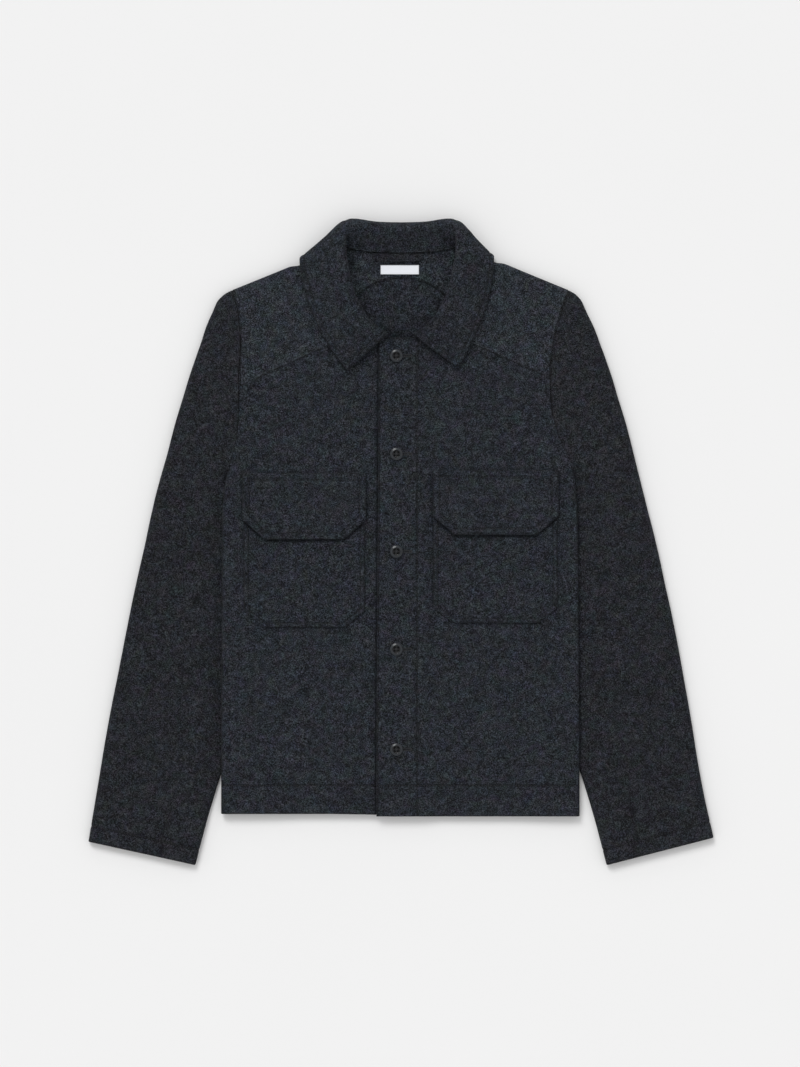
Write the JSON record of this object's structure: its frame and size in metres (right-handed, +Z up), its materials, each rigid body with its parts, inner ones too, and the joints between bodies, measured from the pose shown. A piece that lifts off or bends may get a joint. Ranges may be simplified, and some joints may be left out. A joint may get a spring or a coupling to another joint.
{
  "type": "shirt jacket laid flat",
  "caption": "Buttoned boiled wool shirt jacket laid flat on its back, with turned-down collar, yoke, flapped chest pockets and arms at its sides.",
  "frame": {"origin": "middle of the garment's footprint, on the surface it lies on", "axes": "+X towards the wearer's left arm, +Y from hem to collar, +Z up off the surface"},
  "size_m": [0.7372, 0.7619, 0.0314],
  "materials": {
    "wool": "matte boiled wool, charcoal with pale flecks",
    "label_cloth": "matte woven label, bare",
    "button": "satin horn-like resin"
  },
  "bodies": {
    "root": {"back": "wool", "yoke": "wool", "collar": "wool", "front_right": "wool", "front_left": "wool", "sleeve_right": "wool", "sleeve_left": "wool", "pocket_right": "wool", "pocket_left": "wool", "pocket_flap_right": "wool", "pocket_flap_left": "wool", "hanger_loop": "wool", "label": "label_cloth", "button_1": "button", "button_2": "button", "button_3": "button", "button_4": "button", "button_5": "button"}
  },
  "joints": []
}
